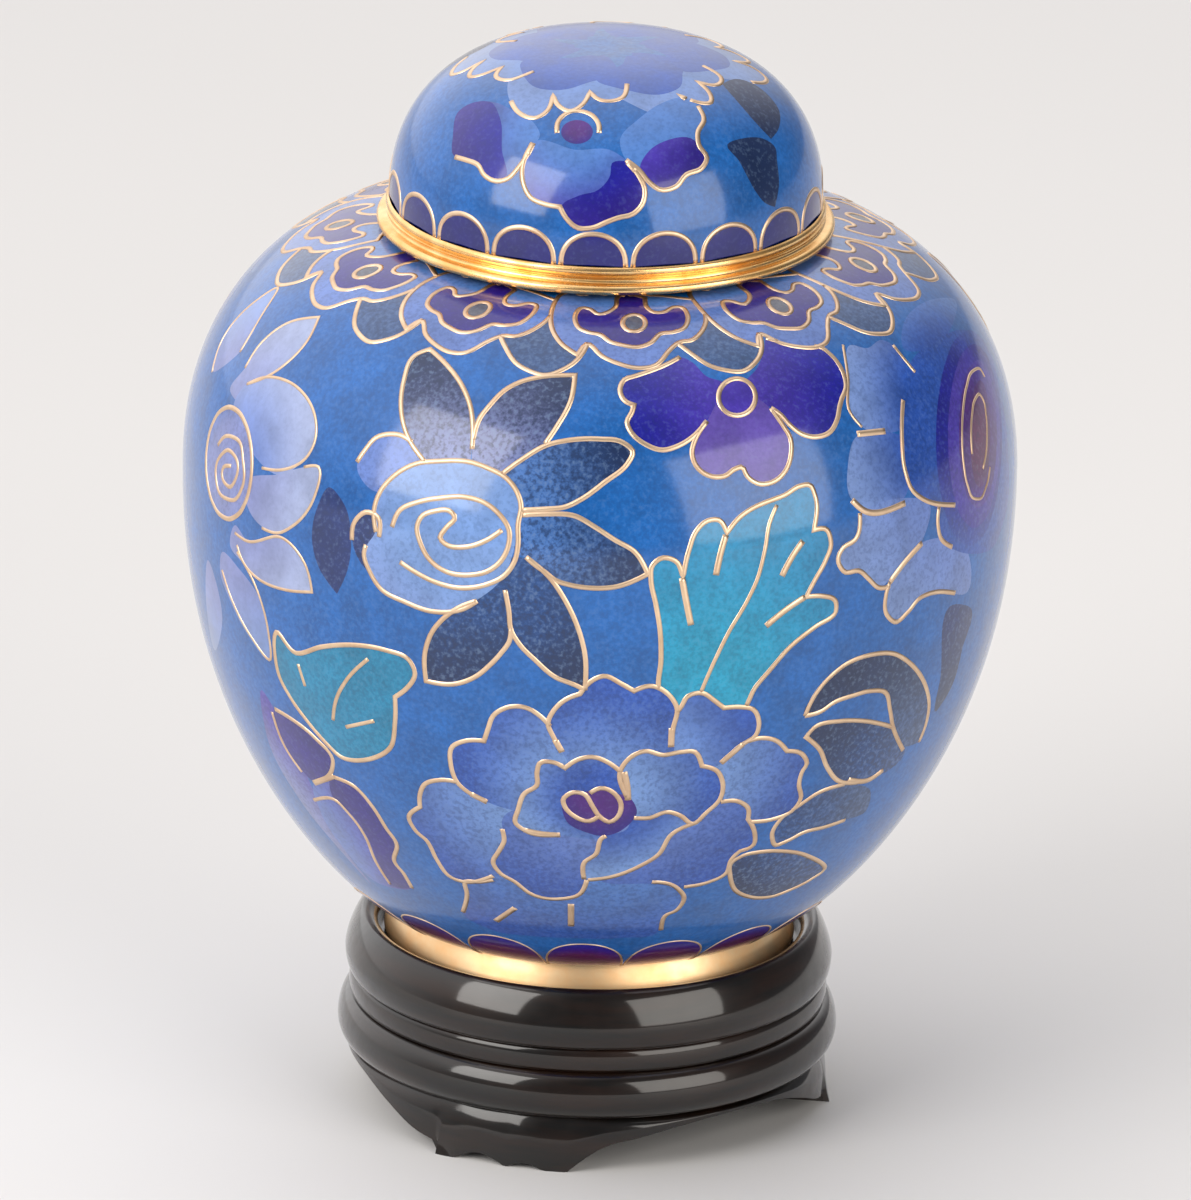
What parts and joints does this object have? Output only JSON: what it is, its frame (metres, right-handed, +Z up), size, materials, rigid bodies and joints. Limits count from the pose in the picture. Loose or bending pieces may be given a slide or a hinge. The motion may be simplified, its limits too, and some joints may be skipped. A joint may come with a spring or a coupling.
{
  "type": "miniature urn",
  "caption": "Small enamelled ginger-jar urn with a lift-off domed lid and gilt rings, hollow inside, standing on a turned dark wooden stand with carved feet.",
  "frame": {"origin": "on the axis, at the level where the stand's feet touch down", "axes": "+Z up along the turned axis, -Y towards the side with the rose and the peony, +X to that side's right"},
  "size_m": [0.0658, 0.0658, 0.0872],
  "materials": {
    "body_enamel": "polished blue enamel with thin gilt wires round floral fields",
    "lid_enamel": "polished blue enamel with thin gilt wires, purple scallops at the edge",
    "gilt_brass": "polished gilt",
    "stand_wood": "glossy near-black brown lacquer"
  },
  "bodies": {
    "root": {"stand": "stand_wood", "foot_ring": "gilt_brass", "urn_body": "body_enamel", "lid_rim": "gilt_brass", "lid": "lid_enamel"}
  },
  "joints": []
}
